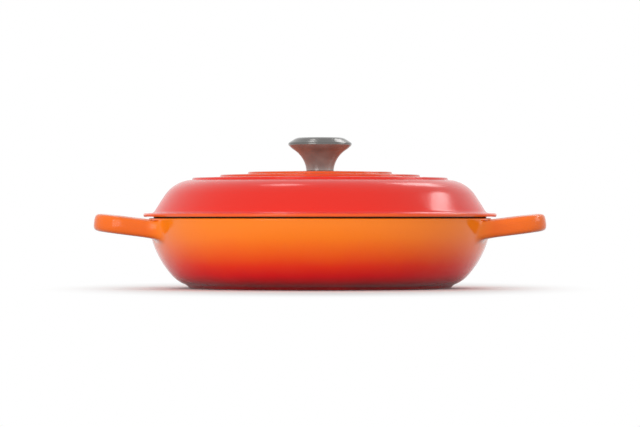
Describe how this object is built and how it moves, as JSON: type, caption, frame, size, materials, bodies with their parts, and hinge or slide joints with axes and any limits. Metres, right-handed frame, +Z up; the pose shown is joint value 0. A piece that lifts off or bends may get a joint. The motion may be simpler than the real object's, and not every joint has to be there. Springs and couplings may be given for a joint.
{
  "type": "braiser",
  "caption": "Shallow round enamelled cast-iron braiser with loop handles, a domed lift-off lid with round steps and a metal knob.",
  "frame": {"origin": "centre of the flat base, on the surface that the pan stands on", "axes": "+X along the two handles, +Y towards the back of the pictured view, +Z up along the axis of the pan, lid and knob"},
  "size_m": [0.397, 0.3106, 0.1326],
  "materials": {
    "pan_enamel": "glossy vitreous enamel on cast iron, orange at the rim and handles, deep red at the base, pale sand inside, black rim",
    "lid_enamel": "glossy vitreous enamel on cast iron, red with orange flange and centre, pale sand inside, black seat",
    "knob_steel": "turned and satin-polished stainless steel",
    "fastener_steel": "plain stainless steel"
  },
  "bodies": {
    "pan": {"pan": "pan_enamel"},
    "lid": {"lid": "lid_enamel", "knob": "knob_steel", "knob_screw": "fastener_steel", "flat_washer": "fastener_steel", "lock_washer": "fastener_steel"}
  },
  "joints": [
    {"name": "lid_lift", "type": "slide", "parent": "pan", "child": "lid", "axis": [0, 0, 1], "range_m": [0, 0.15]}
  ]
}
